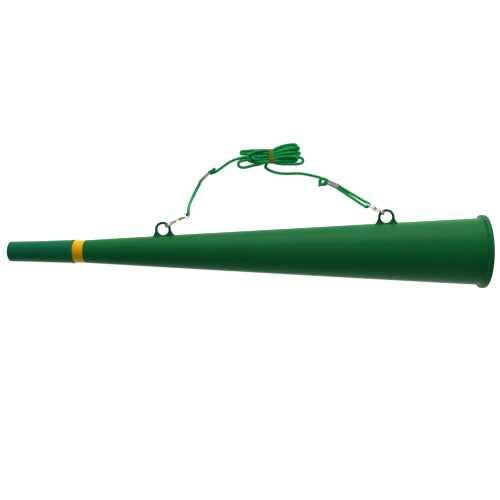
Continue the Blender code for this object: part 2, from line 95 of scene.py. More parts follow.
# The line that the mould's halves leave along the horn
MOULD_LINE_HALF = 0.00012
MOULD_LINE_RISE = 0.00018

# The lanyard: cord thickness, how far apart paired strands run, and the steps of its laid and drawn paths
CORD = 0.0042
PITCH = 0.00375
STEP = 0.0024
FINE_STEP = 0.00048
AROUND = 20
PLAIT_LAY = 0.020
PLAITS = 4
EYE_AT = 0.0280
EYE_RING = 0.00355
EYE_REACH = 0.00315
CRIMP_LENGTH = 0.016
CRIMP_WIDE = 0.0082
CRIMP_THICK = 0.0046
CRIMP_WALL = 0.0005
REAR_CRIMP = (Vector((-0.0500, 0.0972, 0.0042)), math.radians(47))
FRONT_CRIMP = (Vector((0.1242, 0.0878, 0.0024)), math.radians(153.7))
# The hank's waist, where the band goes round it: half its size, and how square its section is
WAIST_AT = 0.0405
BAND_MIDDLE = 0.0054
BAND_HALF_WIDE = 0.0094
BAND_HALF_HIGH = 0.0047
BAND_SQUARENESS = 3.4
BAND_THICK = 0.0009


# ---------------------------------------------------------------- camera, floor and light


def stage():
    camera = bpy.data.objects.new("camera", bpy.data.cameras.new("camera"))
    bpy.context.scene.collection.objects.link(camera)
    camera.location = (0.0117, -0.0015, 0.926)
    camera.data.sensor_width = 36
    camera.data.lens = 48.96
    camera.data.clip_start = 0.01
    bpy.context.scene.camera = camera

    bpy.ops.mesh.primitive_plane_add(size=8, location=(0, 0, -0.0002))
    floor = bpy.context.active_object
    floor.name = "floor"
    white = bpy.data.materials.new("floor_white")
    white.use_nodes = True
    shader = white.node_tree.nodes["Principled BSDF"]
    shader.inputs["Base Color"].default_value = (0.93, 0.93, 0.93, 1)
    shader.inputs["Roughness"].default_value = 0.7
    shader.inputs["Emission Color"].default_value = (1, 1, 1, 1)
    shader.inputs["Emission Strength"].default_value = 0.84
    floor.data.materials.append(white)

    lights = (
        ("key", (0.05, 1.50, 0.65), (1.2, 1.2), 33),
        ("strip", (0.05, 0.40, 1.8), (0.6, 0.06), 2.5),
        ("bell_side", (1.5, -0.1, 0.5), (0.8, 0.8), 4),
        ("fill", (-0.1, -1.40, 0.30), (1.4, 0.4), 1.2),
    )
    for name, place, size, power in lights:
        lamp = bpy.data.lights.new(name, "AREA")
        lamp.shape = "RECTANGLE"
        lamp.size, lamp.size_y = size
        lamp.energy = power
        made = bpy.data.objects.new(name, lamp)
        bpy.context.scene.collection.objects.link(made)
        made.location = place
        made.rotation_euler = (-Vector(place)).to_track_quat("-Z", "Y").to_euler()
    world = bpy.data.worlds.new("studio")
    bpy.context.scene.world = world
    world.use_nodes = True
    world.node_tree.nodes["Background"].inputs["Color"].default_value = (1, 1, 1, 1)
    world.node_tree.nodes["Background"].inputs["Strength"].default_value = 0.22
    bpy.context.scene.view_settings.view_transform = "Standard"


# ---------------------------------------------------------------- shader groups and materials


def new_group(name, inputs, outputs):
    group = bpy.data.node_groups.new(name, "ShaderNodeTree")
    for label, kind, value in inputs:
        socket = group.interface.new_socket(label, in_out="INPUT", socket_type=f"NodeSocket{kind}")
        if value is not None:
            socket.default_value = value
    for label, kind in outputs:
        group.interface.new_socket(label, in_out="OUTPUT", socket_type=f"NodeSocket{kind}")
    return group, group.nodes.new("NodeGroupInput"), group.nodes.new("NodeGroupOutput")


def grain_group():
    """Moulded grain: a fine stipple over slow waves, as a normal."""
    group, given, out = new_group(
        "moulded_grain",
        [
            ("Grain Scale", "Float", 2600),
            ("Grain", "Float", 0.2),
            ("Wave Scale", "Float", 24),
            ("Wave", "Float", 0.1),
        ],
        [("Normal", "Vector")],
    )
    nodes, links = group.nodes, group.links
    place = nodes.new("ShaderNodeTexCoord")
    fine = nodes.new("ShaderNodeTexNoise")
    fine.inputs["Detail"].default_value = 3
    slow = nodes.new("ShaderNodeTexNoise")
    slow.inputs["Detail"].default_value = 2
    links.new(place.outputs["Object"], fine.inputs["Vector"])
    links.new(place.outputs["Object"], slow.inputs["Vector"])
    links.new(given.outputs["Grain Scale"], fine.inputs["Scale"])
    links.new(given.outputs["Wave Scale"], slow.inputs["Scale"])
    wave = nodes.new("ShaderNodeBump")
    wave.inputs["Distance"].default_value = 0.004
    links.new(slow.outputs["Fac"], wave.inputs["Height"])
    links.new(given.outputs["Wave"], wave.inputs["Strength"])
    stipple = nodes.new("ShaderNodeBump")
    stipple.inputs["Distance"].default_value = 0.0002
    links.new(fine.outputs["Fac"], stipple.inputs["Height"])
    links.new(given.outputs["Grain"], stipple.inputs["Strength"])
    links.new(wave.outputs["Normal"], stipple.inputs["Normal"])
    links.new(stipple.outputs["Normal"], out.inputs["Normal"])
    return group


def tone_group():
    """Uneven pigment and fine dust: a colour that drifts between two tones, and a drifting roughness."""
    group, given, out = new_group(
        "uneven_tone",
        [
            ("Colour", "Color", (0.5, 0.5, 0.5, 1)),
            ("Other", "Color", (0.4, 0.4, 0.4, 1)),
            ("Scale", "Float", 12),
            ("Dust", "Float", 0.1),
            ("Roughness", "Float", 0.35),
            ("Drift", "Float", 0.1),
        ],
        [("Colour", "Color"), ("Roughness", "Float")],
    )
    nodes, links = group.nodes, group.links
    place = nodes.new("ShaderNodeTexCoord")
    cloud = nodes.new("ShaderNodeTexNoise")
    cloud.inputs["Detail"].default_value = 4
    links.new(place.outputs["Object"], cloud.inputs["Vector"])
    links.new(given.outputs["Scale"], cloud.inputs["Scale"])
    mix = nodes.new("ShaderNodeMix")
    mix.data_type = "RGBA"
    links.new(cloud.outputs["Fac"], mix.inputs["Factor"])
    links.new(given.outputs["Colour"], mix.inputs["A"])
    links.new(given.outputs["Other"], mix.inputs["B"])
    speck = nodes.new("ShaderNodeTexNoise")
    speck.inputs["Scale"].default_value = 900
    speck.inputs["Detail"].default_value = 5
    links.new(place.outputs["Object"], speck.inputs["Vector"])
    pick = nodes.new("ShaderNodeMapRange")
    pick.inputs["From Min"].default_value = 0.62
    pick.inputs["From Max"].default_value = 0.78
    links.new(speck.outputs["Fac"], pick.inputs["Value"])
    amount = nodes.new("ShaderNodeMath")
    amount.operation = "MULTIPLY"
    links.new(pick.outputs["Result"], amount.inputs[0])
    links.new(given.outputs["Dust"], amount.inputs[1])
    dusty = nodes.new("ShaderNodeMix")
    dusty.data_type = "RGBA"
    dusty.inputs["B"].default_value = (0.55, 0.60, 0.55, 1)
    links.new(amount.outputs["Value"], dusty.inputs["Factor"])
    links.new(mix.outputs["Result"], dusty.inputs["A"])
    links.new(dusty.outputs["Result"], out.inputs["Colour"])
    drift = nodes.new("ShaderNodeMath")
    drift.operation = "MULTIPLY_ADD"
    links.new(cloud.outputs["Fac"], drift.inputs[0])
    links.new(given.outputs["Drift"], drift.inputs[1])
    links.new(given.outputs["Roughness"], drift.inputs[2])
    links.new(drift.outputs["Value"], out.inputs["Roughness"])
    return group


GRAIN = grain_group()
TONE = tone_group()


def finish_of(
    name,
    colour,
    other,
    roughness,
    metallic=0.0,
    tone_scale=12,
    dust=0.1,
    drift=0.1,
    grain=(2600, 0.2, 24, 0.1),
):
    """A material whose colour and roughness drift, under a moulded or rolled grain."""
    made = bpy.data.materials.new(name)
    made.use_nodes = True
    nodes, links = made.node_tree.nodes, made.node_tree.links
    shader = nodes["Principled BSDF"]
    shader.inputs["Metallic"].default_value = metallic
    tone = nodes.new("ShaderNodeGroup")
    tone.node_tree = TONE
    values = ((*colour, 1), (*other, 1), tone_scale, dust, roughness, drift)
    for label, value in zip(("Colour", "Other", "Scale", "Dust", "Roughness", "Drift"), values):
        tone.inputs[label].default_value = value
    bumps = nodes.new("ShaderNodeGroup")
    bumps.node_tree = GRAIN
    for label, value in zip(("Grain Scale", "Grain", "Wave Scale", "Wave"), grain):
        bumps.inputs[label].default_value = value
    links.new(tone.outputs["Colour"], shader.inputs["Base Color"])
    links.new(tone.outputs["Roughness"], shader.inputs["Roughness"])
    links.new(bumps.outputs["Normal"], shader.inputs["Normal"])
    made.diffuse_color = (*colour, 1)
    return made


def plastic(name, colour, other, roughness, glow=0.03, shine=0.04, **given):
    """A slightly waxy moulded plastic, whose edges catch a light tint of its own colour."""
    made = finish_of(name, colour, other, roughness, **given)
    shader = made.node_tree.nodes["Principled BSDF"]
    shader.inputs["Subsurface Weight"].default_value = glow
    shader.inputs["Subsurface Radius"].default_value = (0.001, 0.003, 0.0015)
    shader.inputs["Subsurface Scale"].default_value = 1.0
    shader.inputs["Specular IOR Level"].default_value = shine
    shader.inputs["Sheen Weight"].default_value = 0.22
    shader.inputs["Sheen Roughness"].default_value = 0.35
    shader.inputs["Sheen Tint"].default_value = (*[min(1, part * 7) for part in colour], 1)
    return made


def braid_material():
    """Braided cord: the braid attribute is high on each plait's back and low where plaits cross; its colour
    is painted shade where plaits cross and a painted highlight on each plait's back.
    """
    made = bpy.data.materials.new("green_braid")
    made.use_nodes = True
    nodes, links = made.node_tree.nodes, made.node_tree.links
    shader = nodes["Principled BSDF"]
    shader.inputs["Roughness"].default_value = 0.55
    shader.inputs["Specular IOR Level"].default_value = 0.08
    braid = nodes.new("ShaderNodeAttribute")
    braid.attribute_name = "braid"
    # Painted shade and highlight: the cord's colour is dark in the crossings between plaits and bright on
    # each plait's back.
    shade_and_highlight_ramp = nodes.new("ShaderNodeValToRGB")
    shade_and_highlight_ramp.color_ramp.elements[0].color = (0.001, 0.050, 0.010, 1)
    shade_and_highlight_ramp.color_ramp.elements[0].position = 0.05
    shade_and_highlight_ramp.color_ramp.elements[1].color = (0.002, 0.380, 0.085, 1)
    shade_and_highlight_ramp.color_ramp.elements[1].position = 0.85
    middle = shade_and_highlight_ramp.color_ramp.elements.new(0.45)
    middle.color = (0.001, 0.240, 0.048, 1)
    links.new(braid.outputs["Fac"], shade_and_highlight_ramp.inputs["Fac"])
    links.new(shade_and_highlight_ramp.outputs["Color"], shader.inputs["Base Color"])
    coords = nodes.new("ShaderNodeUVMap")
    yarn = nodes.new("ShaderNodeTexNoise")
    yarn.inputs["Scale"].default_value = 60
    yarn.inputs["Detail"].default_value = 4
    links.new(coords.outputs["UV"], yarn.inputs["Vector"])
    bump = nodes.new("ShaderNodeBump")
    bump.inputs["Strength"].default_value = 0.5
    bump.inputs["Distance"].default_value = 0.0002
    links.new(yarn.outputs["Fac"], bump.inputs["Height"])
    links.new(bump.outputs["Normal"], shader.inputs["Normal"])
    return made


LOOKS = {
    "horn": plastic(
        "horn_green",
        (0.0026, 0.094, 0.0215),
        (0.0036, 0.116, 0.028),
        0.30,
        grain=(2400, 0.22, 22, 0.12),
    ),
    "mouthpiece": plastic(
        "mouthpiece_green",
        (0.0028, 0.096, 0.040),
        (0.0036, 0.120, 0.050),
        0.32,
        grain=(2600, 0.18, 30, 0.10),
    ),
    "holder": plastic("holder_yellow", (0.56, 0.280, 0.001), (0.65, 0.335, 0.002), 0.34, dust=0.05),
    "reed": plastic("reed_white", (0.72, 0.70, 0.60), (0.66, 0.63, 0.52), 0.42, dust=0.05),
    "brass": finish_of(
        "reed_brass", (0.78, 0.57, 0.25), (0.68, 0.46, 0.17), 0.22, 1.0, grain=(4000, 0.12, 60, 0.05)
    ),
    "nickel": finish_of(
        "nickel",
        (0.62, 0.59, 0.54),
        (0.44, 0.42, 0.38),
        0.22,
        1.0,
        tone_scale=200,
        dust=0.0,
        grain=(3000, 0.10, 200, 0.06),
    ),
    "crimp": finish_of(
        "crimp_grey",
        (0.44, 0.43, 0.41),
        (0.28, 0.275, 0.26),
        0.34,
        1.0,
        tone_scale=260,
        dust=0.0,
        grain=(2500, 0.35, 300, 0.2),
    ),
    "band": plastic("rubber_olive", (0.150, 0.125, 0.004), (0.220, 0.190, 0.006), 0.45, glow=0.1, dust=0.15),
    "cord": braid_material(),
}


# ---------------------------------------------------------------- modelling helpers


def horn_axis():
    """The matrix from the horn's own frame, along +X with its lugs towards +Y, to where the horn rests."""
    along = -Vector(JOINTS["reed_unit_pull"]["axis"])
    tilt = math.atan2(along.z, along.x)
    height = TIP_RADIUS * math.cos(tilt) - TIP_TOUCH * math.sin(tilt)
    place = Matrix.Translation((AXIS_START, AXIS_ACROSS, height))
    return place @ Matrix.Rotation(-tilt, 4, "Y") @ Matrix.Rotation(ROLL, 4, "X")


def cone_radius(along):
    share = (along - THROAT_AT) / (RIM_AT - THROAT_AT)
    return THROAT_RADIUS + (CONE_END_RADIUS - THROAT_RADIUS) * share + 4 * CONE_BULGE * share * (1 - share)


def arc(centre, radius, start, end, steps):
    turns = [math.radians(start + (end - start) * i / steps) for i in range(steps + 1)]
    return [(centre[0] + radius * math.cos(t), centre[1] + radius * math.sin(t)) for t in turns]


def deselect():
    for obj in bpy.context.view_layer.objects:
        obj.select_set(False)


def placed(made, matrix):
    """Moves the finished mesh itself, so that its object stays at the origin."""
    made.data.transform(made.matrix_world)
    made.matrix_world = Matrix.Identity(4)
    made.data.transform(matrix)
    if matrix.determinant() < 0:
        made.data.flip_normals()
    return made


def dress(made, name, look, body, replaced=(), smooth=35):
    """Names a finished piece, gives it its finish and its body, and hides the nodes that it stands for."""
    made.name = name
    made.data.name = name
    made.data.materials.clear()
    made.data.materials.append(LOOKS[look])
    deselect()
    made.select_set(True)
    bpy.context.view_layer.objects.active = made
    bpy.ops.object.shade_smooth_by_angle(angle=math.radians(smooth))
    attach(made, body)
    if replaced:
        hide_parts(*replaced)
    return made


def apply_all(made):
    deselect()
    made.select_set(True)
    bpy.context.view_layer.objects.active = made
    for change in list(made.modifiers):
        bpy.ops.object.modifier_apply(modifier=change.name)
    return made


def lathe(profile, steps=160, closed=True):
    """A turned piece along +X: a circle is drawn out ring by ring through the profile of (along, radius)."""
    deselect()
    start_at, start_radius = profile[0]
    bpy.ops.mesh.primitive_circle_add(vertices=steps, radius=start_radius, location=(0, 0, 0))
    made = bpy.context.active_object
    bpy.ops.object.mode_set(mode="EDIT")
    bpy.ops.mesh.select_all(action="SELECT")
    bpy.ops.transform.translate(value=(0, 0, start_at))
    at, radius = start_at, start_radius
    for next_at, next_radius in profile[1:]:
        bpy.ops.mesh.extrude_edges_move(TRANSFORM_OT_translate={"value": (0, 0, next_at - at)})
        grow = next_radius / radius
        bpy.ops.transform.resize(value=(grow, grow, 1), center_override=(0, 0, next_at))
        at, radius = next_at, next_radius
    bpy.ops.mesh.select_all(action="SELECT")
    bpy.ops.mesh.remove_doubles(threshold=0.000002)
    if not closed:
        bpy.ops.mesh.select_all(action="DESELECT")
        bpy.ops.mesh.select_non_manifold()
        bpy.ops.mesh.edge_face_add()
        bpy.ops.mesh.select_all(action="SELECT")
    bpy.ops.mesh.normals_make_consistent(inside=False)
    bpy.ops.object.mode_set(mode="OBJECT")
    return placed(made, Matrix.Rotation(math.pi / 2, 4, "Y"))


# ---------------------------------------------------------------- horn


def horn_shell():
    """The cone with its flanged bell, a thin ridge at each mould line, and the reed unit's socket."""
    stations = [THROAT_AT + (RIM_AT - THROAT_AT) * i / 40 for i in range(41)]
    socket_end = THROAT_AT + SOCKET_DEPTH
    inner_from = socket_end + 0.004
    back = RIM_AT + 0.0003
    profile = [
        *reversed(arc((HORN_LENGTH - RIM_EDGE, BELL_RADIUS - RIM_EDGE), RIM_EDGE, 0, 90, 8)),
        (HORN_LENGTH, BELL_RADIUS - 0.0024),
        (HORN_LENGTH, BELL_RADIUS - 0.0036),
        *arc((HORN_LENGTH - 0.0008, BELL_RADIUS - 0.0044), 0.0008, 0, -45, 3),
        (RIM_AT, CONE_END_RADIUS - WALL),
        *[(x, cone_radius(x) - WALL) for x in reversed(stations[2:-1]) if x > inner_from],
        (inner_from, cone_radius(inner_from) - WALL),
        (socket_end, SOCKET_RADIUS),
        (THROAT_AT + 0.0004, SOCKET_RADIUS),
        (THROAT_AT, SOCKET_RADIUS + 0.0004),
        *arc((THROAT_AT + 0.0005, THROAT_RADIUS - 0.0005), 0.0005, 180, 90, 4),
        *[(x, cone_radius(x)) for x in stations[1:-1]],
        *arc((back - 0.0012, CONE_END_RADIUS + 0.0010), 0.0010, -88, -12, 6),
        *arc((back + RIM_EDGE, BELL_RADIUS - RIM_EDGE), RIM_EDGE, 180, 90, 6),
        (HORN_LENGTH - RIM_EDGE, BELL_RADIUS),
    ]
    made = lathe(profile, 192)
    for point in made.data.vertices:
        radius = math.hypot(point.co.y, point.co.z)
        on_cone = THROAT_AT < point.co.x < RIM_AT - 0.002
        outside = radius > cone_radius(point.co.x) - WALL / 2
        if on_cone and outside and abs(point.co.z) < MOULD_LINE_HALF:
            point.co.y *= 1 + MOULD_LINE_RISE / radius
    placed(made, AXIS)
    return dress(made, "horn_shell", "horn", "horn", ("throat_cone", "bell_cone"))


def lug(end):
    """A moulded ring that runs down into two flared feet on a low saddle."""
    along = LUG_AT[end]
    slope = math.atan((cone_radius(along + 0.01) - cone_radius(along - 0.01)) / 0.02)
    deselect()
    bpy.ops.mesh.primitive_torus_add(
        major_radius=LUG_RING,
        minor_radius=LUG_WIRE,
        major_segments=72,
        minor_segments=24,
        location=(0, LUG_RISE, 0),
    )
    ring = bpy.context.active_object
    flare = [
        (-0.0016, 0.0052),
        (0.0000, 0.0047),
        (0.0012, 0.0037),
        (0.0028, 0.0029),
        (0.0048, 0.0023),
        (0.0085, 0.0018),
    ]
    pieces = [ring]
    for side in (-1, 1):
        foot = lathe(flare, 40, closed=False)
        splay = Matrix.Rotation(math.radians(90 + side * 9), 4, "Z")
        turn = Matrix.Translation((side * 0.0101, 0, 0)) @ splay
        pieces.append(placed(foot, turn @ Matrix.Diagonal((1, 1, 0.62, 1))))
    bpy.ops.mesh.primitive_cube_add(size=1, location=(0, -0.0002, 0))
    saddle = bpy.context.active_object
    pieces.append(placed(saddle, Matrix.Diagonal((0.021, 0.0016, 0.0052, 1))))
    deselect()
    for piece in pieces:
        piece.select_set(True)
    bpy.context.view_layer.objects.active = ring
    bpy.ops.object.join()
    merge = ring.modifiers.new("merge", "REMESH")
    merge.mode = "VOXEL"
    merge.voxel_size = 0.00027
    soften = ring.modifiers.new("soften", "SMOOTH")
    soften.factor = 0.5
    soften.iterations = 9
    apply_all(ring)
    placed(ring, Matrix.Identity(4))
    placed(ring, AXIS @ Matrix.Translation((along, cone_radius(along), 0)) @ Matrix.Rotation(slope, 4, "Z"))
    return dress(ring, f"{end}_lug_ring", "horn", "horn", (f"{end}_lug",), 60)


def mouthpiece():
    """The tapered tube that is blown, with its beaded end and rounded mouth, hollow down to its socket."""
    bead, tube_end = 0.0161, 0.0155
    profile = [
        *arc((MOUTHPIECE_END - 0.0007, bead - 0.0007), 0.0007, 0, 90, 4),
        *arc((MOUTHPIECE_END - 0.0012, bead - 0.0007), 0.0007, 90, 150, 3),
        *arc((MOUTHPIECE_END - 0.0034, tube_end + 0.0010), 0.0010, -30, -88, 3),
        (0.0700, 0.01510),
        (0.0500, 0.01450),
        (0.0300, 0.01392),
        (0.0120, 0.01355),
        (0.0050, TIP_RADIUS + 0.00002),
        *arc((0.0026, TIP_RADIUS - 0.0026), 0.0026, 90, 180, 10),
        *arc((0.0012, TIP_RADIUS - 0.0030), 0.0012, 180, 270, 5),
        (0.0180, TIP_RADIUS - 0.0031),
        (0.0640, 0.0131),
        (0.0680, SOCKET_RADIUS),
        (MOUTHPIECE_END, SOCKET_RADIUS),
        (MOUTHPIECE_END, bead - 0.0007),
    ]
    made = placed(lathe(profile, 128), AXIS)
    return dress(made, "blown_mouthpiece", "mouthpiece", "mouthpiece", ("mouthpiece",))


def reed_holder():
    """The collared plug between mouthpiece and throat, with the partition that grips the trough."""
    spigot = SOCKET_RADIUS - 0.00015
    low, high = MOUTHPIECE_END + 0.0003, THROAT_AT - 0.0003
    bore, grip, grip_at = 0.0116, 0.0060, 0.0790
    profile = [
        (THROAT_AT + 0.0170, spigot - 0.0010),
        (THROAT_AT + 0.0160, spigot),
        (high, spigot),
        *arc((high - 0.0006, COLLAR_RADIUS - 0.0006), 0.0006, 0, 90, 5),
        ((low + high) / 2, COLLAR_RADIUS + 0.00005),
        *arc((low + 0.0006, COLLAR_RADIUS - 0.0006), 0.0006, 90, 180, 5),
        (low, spigot),
        (0.0710, spigot),
        (0.0700, spigot - 0.0010),
        (0.0700, bore),
        (grip_at, bore),
        (grip_at, grip),
        (grip_at + 0.0080, grip),
        (grip_at + 0.0120, bore),
        (THROAT_AT + 0.0170, bore),
        (THROAT_AT + 0.0170, spigot - 0.0010),
    ]
    made = placed(lathe(profile, 96), AXIS)
    return dress(made, "reed_plug", "holder", "reed_unit", ("reed_holder",))


def polished(node, name, look, body, edge=0.00012):
    """A copy of a frame solid with its faces merged and its edges rounded."""
    made = bpy.data.objects.new(name, frame["nodes"][node].data.copy())
    bpy.context.scene.collection.objects.link(made)
    shape = bmesh.new()
    shape.from_mesh(made.data)
    bmesh.ops.remove_doubles(shape, verts=shape.verts, dist=0.000003)
    bmesh.ops.dissolve_limit(
        shape,
        angle_limit=math.radians(1.5),
        verts=shape.verts,
        edges=shape.edges,
        use_dissolve_boundaries=False,
    )
    bmesh.ops.recalc_face_normals(shape, faces=shape.faces)
    shape.to_mesh(made.data)
    shape.free()
    for old_layer in list(made.data.attributes):
        if old_layer.name == "custom_normal":
            made.data.attributes.remove(old_layer)
    rounded = made.modifiers.new("rounded", "BEVEL")
    rounded.width = edge
    rounded.segments = 2
    rounded.limit_method = "ANGLE"
    rounded.angle_limit = math.radians(38)
    rounded.use_clamp_overlap = True
    apply_all(made)
    return dress(made, name, look, body, (node,), 40)


# ---------------------------------------------------------------- cord


def hook_axes(end):
    """Where a hook bears on its lug, and its own axes: towards the eye, across, and out of its spine."""
    to_eye = Vector(JOINTS[f"{end}_hook_swivel"]["axis"])
    across = Vector(JOINTS[f"{end}_gate_hinge"]["axis"])
    return Vector(JOINTS[f"{end}_hook_swivel"]["pos_m"]), to_eye, across, to_eye.cross(across)


def eye_turn(end, pull, lying):
    """The cord's way through an eye and round its far wire. pull is where on the ring it bears."""
    grip, to_eye, across, spine = hook_axes(end)
    plane, normal = (across, spine) if lying else (spine, -across)
    outward = to_eye * math.cos(pull) + plane * math.sin(pull)
    wire = grip + to_eye * EYE_AT + outward * EYE_RING
    sweep = [math.radians(a) for a in (80, 110, 140, 180, 220, 250, 280)]
    return [wire + EYE_REACH * (outward * math.cos(a) + normal * math.sin(a)) for a in sweep], normal


def loop(middle, crimp_side, turn, eye_side):
    """Out beside the middle line from the crimp, round the eye, and back along the other side."""
    count = len(middle) - 1
    sides = [
        (crimp_side * PITCH / 2).lerp(eye_side * EYE_REACH, max(0, i - 1) / count) for i in range(count + 1)
    ]
    out = [Vector(point) + side for point, side in zip(middle, sides)]
    back = [Vector(point) - side for point, side in zip(middle, sides)]
    return [*out, *turn, *reversed(back)]


# Each lap of the hank, as (x, y, z) in millimetres from its one fan through the waist to the other
LAPS = [
    [(8, 127.0, 1.9), (22, 127.8, 2.0), (40.5, 128.70, 3.2), (56, 131.0, 2.2), (66, 133.2, 1.9)],
    [(66, 139.4, 1.9), (56, 137.2, 2.2), (40.5, 132.20, 3.2), (22, 132.8, 2.4), (8, 132.6, 2.0)],
    [(8, 128.9, 4.6), (22, 129.0, 5.2), (40.5, 128.70, 6.8), (56, 132.4, 5.8), (65, 134.6, 5.5)],
    [(65, 141.0, 5.4), (56, 138.6, 5.8), (40.5, 132.20, 6.8), (26, 131.2, 6.6), (16, 129.6, 7.2)],
    [(16, 118.2, 5.5), (24, 117.8, 5.9), (40.5, 118.20, 6.8), (56, 118.4, 5.8), (66, 118.8, 5.5)],
    [(66, 126.0, 5.5), (56, 124.2, 5.8), (40.5, 121.70, 6.8), (30, 121.4, 5.8), (23, 121.4, 5.5)],
    [(23, 126.2, 5.5), (30, 125.8, 5.8), (40.5, 125.20, 6.8), (56, 128.2, 5.7), (68, 131.2, 5.2)],
    [(70, 127.4, 2.4), (56, 127.0, 2.2), (40.5, 125.20, 3.2), (24, 123.4, 2.0), (12, 120.6, 1.9)],
    [(6, 109.6, 1.9), (14, 112.8, 2.2), (23, 117.2, 3.4), (30, 118.8, 5.0), (40.5, 118.40, 3.2)]
    + [(54, 117.2, 2.1), (68, 114.8, 1.9)],
    [(70, 125.6, 1.9), (58, 123.4, 2.0), (40.5, 121.70, 3.2), (35, 120.8, 2.4), (31.6, 117.4, 1.9)],
]
# The tip of the turn after each lap: its x, and its height
TURNS = [
    (79.0, 1.9),
    (-3.4, 3.2),
    (77.6, 5.4),
    (5.4, 6.6),
    (77.6, 5.4),
    (13.0, 5.5),
    (81.0, 3.8),
    (-5.8, 1.9),
    (85.4, 1.9),
]


def hank_route():
    """Every lap of the hank, joined by round turns that fan out at both ends."""
    route = []
    for lap, after, turn in zip(LAPS, [*LAPS[1:], None], [*TURNS, None]):
        route += [Vector(point) / 1000 for point in lap]
        if turn is None:
            continue
        leave, enter = Vector(lap[-1]), Vector(after[0])
        tip, height = turn
        half = (enter.y - leave.y) / 2
        middle = (enter.y + leave.y) / 2
        bulge = abs(half) * (1.12 if abs(half) < 4 else 1.0)
        way = 1 if tip > leave.x else -1
        for angle in (-62, -25, 0, 25, 62):
            turned = math.radians(angle)
            share = (angle + 90) / 180
            route.append(
                Vector(
                    (
                        tip - way * bulge * (1 - math.cos(turned)),
                        middle + math.copysign(bulge, half) * math.sin(turned),
                        (leave.z * (1 - share) + enter.z * share + height) / 2,
                    )
                )
                / 1000
            )
    return route


# The rest of the cord, from its cut end by the rear crimp to the one in the front knot
REAR_TAIL = [(-0.0358, 0.1092, 0.0054), (-0.0384, 0.1070, 0.0062), (-0.0420, 0.1048, 0.0062)]
REAR_LOOP = [
    (-0.0573, 0.0870, 0.0045),
    (-0.0597, 0.0825, 0.0050),
    (-0.0636, 0.0741, 0.0080),
    (-0.0670, 0.0657, 0.0122),
    (-0.0692, 0.0590, 0.0188),
    (-0.0699, 0.0534, 0.0240),
]
REAR_RUN = [
    (-0.0413, 0.1026, 0.0021),
    (-0.0375, 0.1037, 0.0021),
    (-0.0340, 0.1055, 0.0021),
    (-0.0311, 0.1075, 0.0021),
    (-0.0270, 0.1104, 0.0021),
    (-0.0230, 0.1133, 0.0021),
    (-0.0189, 0.1162, 0.0021),
    (-0.0148, 0.1187, 0.0021),
    (-0.0107, 0.1206, 0.0021),
    (-0.0050, 0.1232, 0.0021),
    (0.0010, 0.1252, 0.0021),
]
FRONT_RUN = [
    (0.0316, 0.1136, 0.0021),
    (0.0338, 0.1096, 0.0021),
    (0.0405, 0.1058, 0.0021),
    (0.0490, 0.1034, 0.0021),
    (0.0590, 0.1023, 0.0021),
    (0.0690, 0.1024, 0.0021),
    (0.0790, 0.1026, 0.0021),
    (0.0885, 0.1013, 0.0021),
    (0.0985, 0.0992, 0.0021),
    (0.1060, 0.0972, 0.0021),
    (0.1120, 0.0952, 0.0022),
]
FRONT_LOOP = [
    (0.1344, 0.0820, 0.0026),
    (0.1398, 0.0785, 0.0038),
    (0.1450, 0.0747, 0.0062),
    (0.1525, 0.0692, 0.0110),
    (0.1596, 0.0636, 0.0168),
    (0.1648, 0.0596, 0.0222),
]
FRONT_TAIL = [
    (0.1148, 0.0881, 0.0023),
    (0.1114, 0.0872, 0.0022),
    (0.1074, 0.0889, 0.0024),
    (0.1066, 0.0927, 0.0038),
    (0.1104, 0.0952, 0.0062),
    (0.1143, 0.0930, 0.0066),
    (0.1130, 0.0888, 0.0064),
    (0.1085, 0.0870, 0.0052),
    (0.1046, 0.0866, 0.0036),
]


def crimp_line(crimp, side):
    """Points of one strand through a crimp, from its hook's side to its hank's side."""
    middle, heading = crimp
    along = Vector((math.cos(heading), math.sin(heading), 0))
    return [middle + along * CRIMP_LENGTH * share + side * PITCH / 2 for share in (-0.5, 0, 0.5)]


def cord_route():
    """The whole cord from cut end to cut end, as it is laid before it settles."""
    up = Vector((0, 0, 1))
    beside = Vector((math.sin(FRONT_CRIMP[1]), -math.cos(FRONT_CRIMP[1]), 0))
    rear_turn, rear_normal = eye_turn("rear", math.radians(35), True)
    front_turn, front_normal = eye_turn("front", 0, False)
    rear_loop = loop(REAR_LOOP, up, rear_turn, rear_normal)
    front_loop = loop(FRONT_LOOP, beside, front_turn, front_normal)
    return [
        *map(Vector, REAR_TAIL),
        *reversed(crimp_line(REAR_CRIMP, up)),
        *rear_loop,
        *crimp_line(REAR_CRIMP, -up),
        *map(Vector, REAR_RUN),
        *hank_route(),
        *map(Vector, FRONT_RUN),
        *reversed(crimp_line(FRONT_CRIMP, beside)),
        *front_loop,
        *crimp_line(FRONT_CRIMP, -beside),
        *map(Vector, FRONT_TAIL),
    ]


def evenly(points, spacing):
    """Evenly spaced points on a smooth curve through the given ones."""
    knots = np.array([tuple(p) for p in points])
    ends = np.vstack([2 * knots[0] - knots[1], knots, 2 * knots[-1] - knots[-2]])
    share = np.linspace(0, 1, 24, endpoint=False)[None, :, None]
    a, b, c, d = (ends[i : len(ends) - 3 + i, None] for i in range(4))
    fine = 0.5 * (
        2 * b + (c - a) * share + (2 * a - 5 * b + 4 * c - d) * share**2 + (3 * b - a - 3 * c + d) * share**3
    )
    fine = np.vstack([fine.reshape(-1, 3), knots[-1]])
    steps = np.concatenate([[0], np.cumsum(np.linalg.norm(np.diff(fine, axis=0), axis=1))])
    want = np.linspace(0, steps[-1], max(2, round(steps[-1] / spacing)) + 1)
    return np.stack([np.interp(want, steps, fine[:, i]) for i in range(3)], axis=1)


